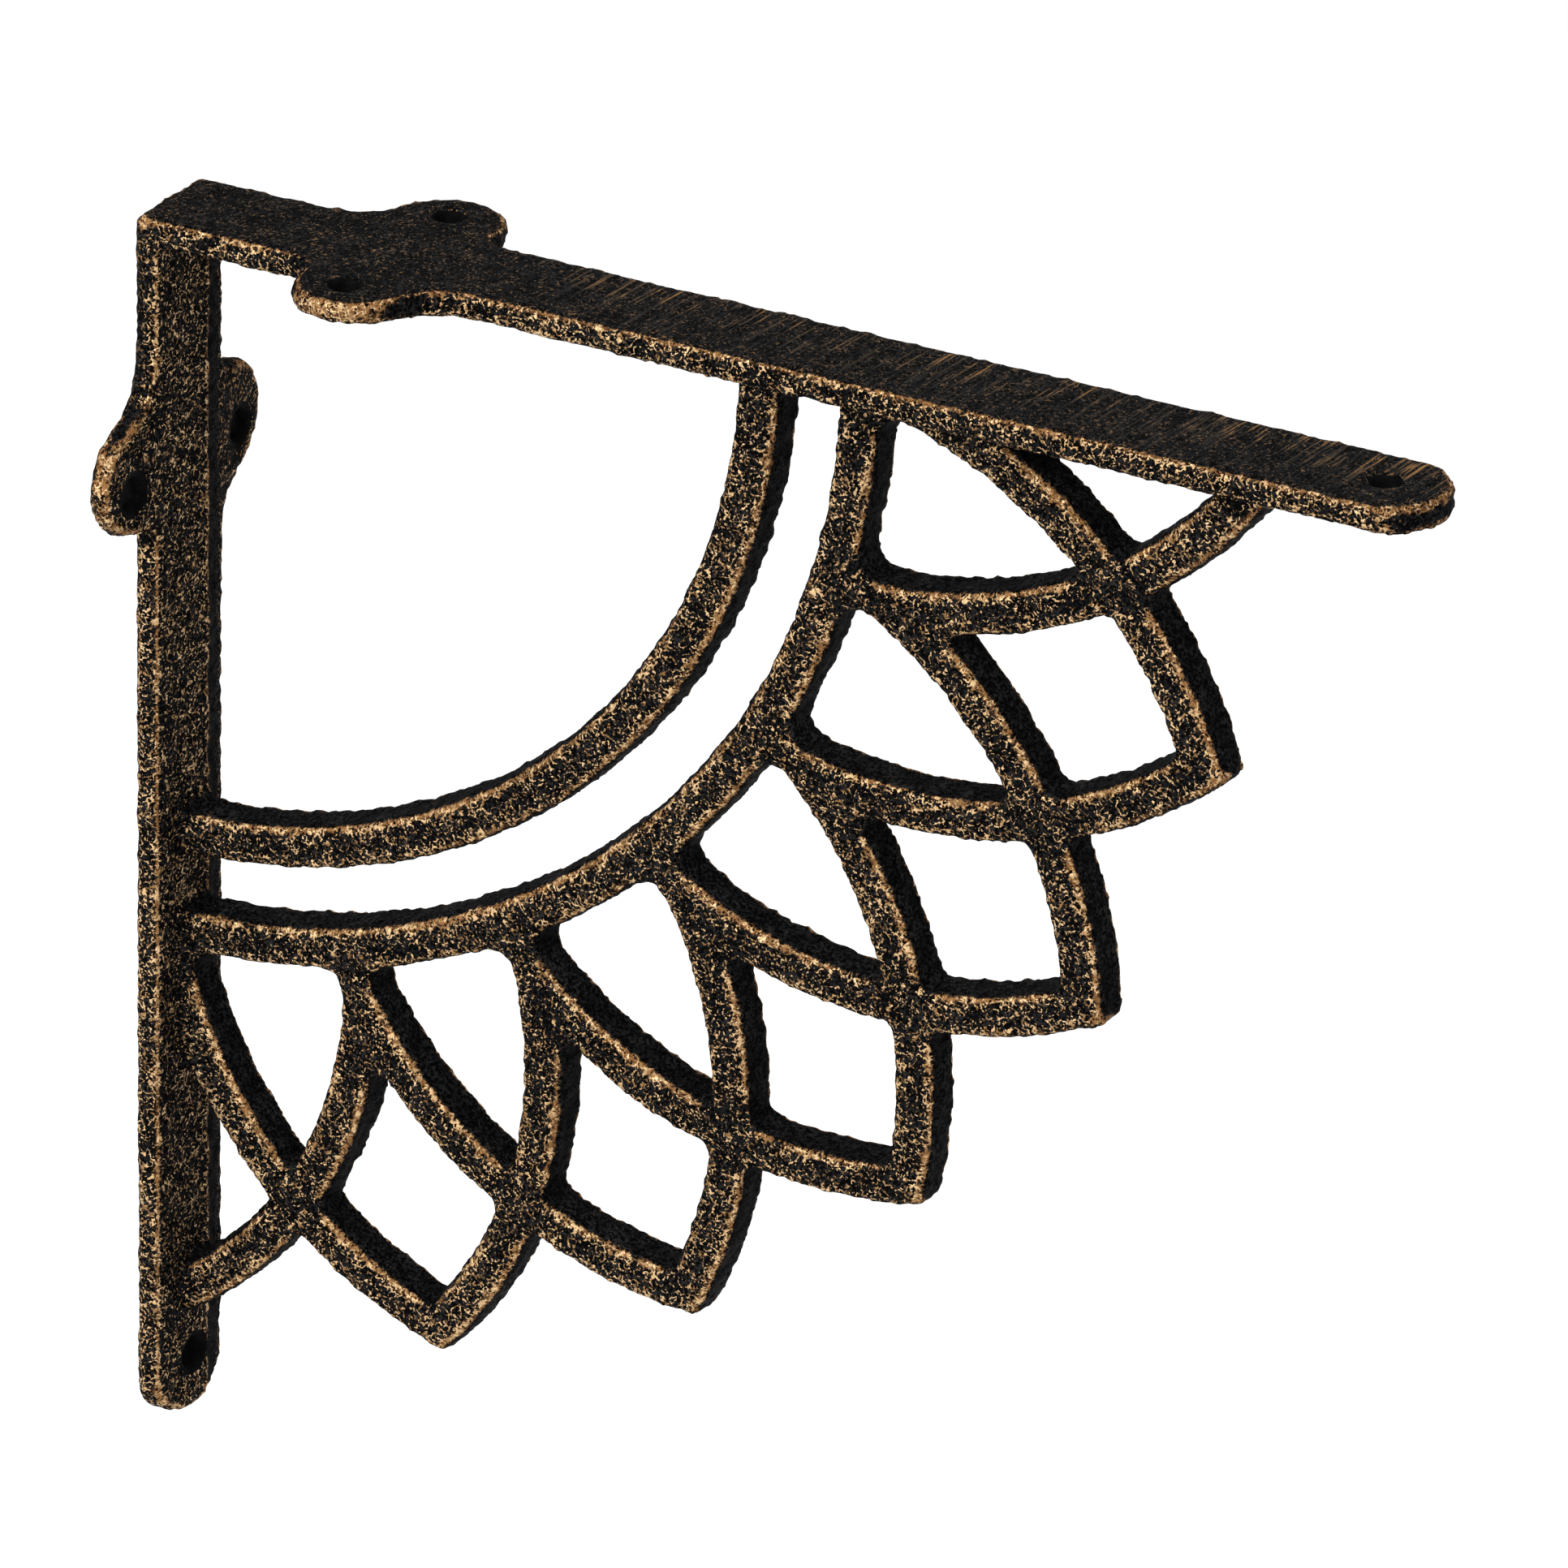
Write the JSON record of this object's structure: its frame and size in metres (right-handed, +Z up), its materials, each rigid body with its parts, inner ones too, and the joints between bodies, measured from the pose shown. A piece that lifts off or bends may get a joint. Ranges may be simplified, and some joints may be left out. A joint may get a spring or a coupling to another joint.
{
  "type": "shelf bracket",
  "caption": "Cast iron right-angle shelf bracket with screw ears on both plates and an openwork quarter fan of two rings and interlaced pointed arches.",
  "frame": {"origin": "on the wall face, midway between the two upper wall screws", "axes": "+X out from the wall along the shelf arm, +Z up, Y across the bracket with the rounded side of the fan towards -Y"},
  "size_m": [0.203, 0.0434, 0.196],
  "materials": {
    "cast_iron": "rough sand-cast skin, black with bronze-coloured highlights brushed over its edges and high spots"
  },
  "bodies": {
    "root": {"shelf_bracket": "cast_iron"}
  },
  "joints": []
}
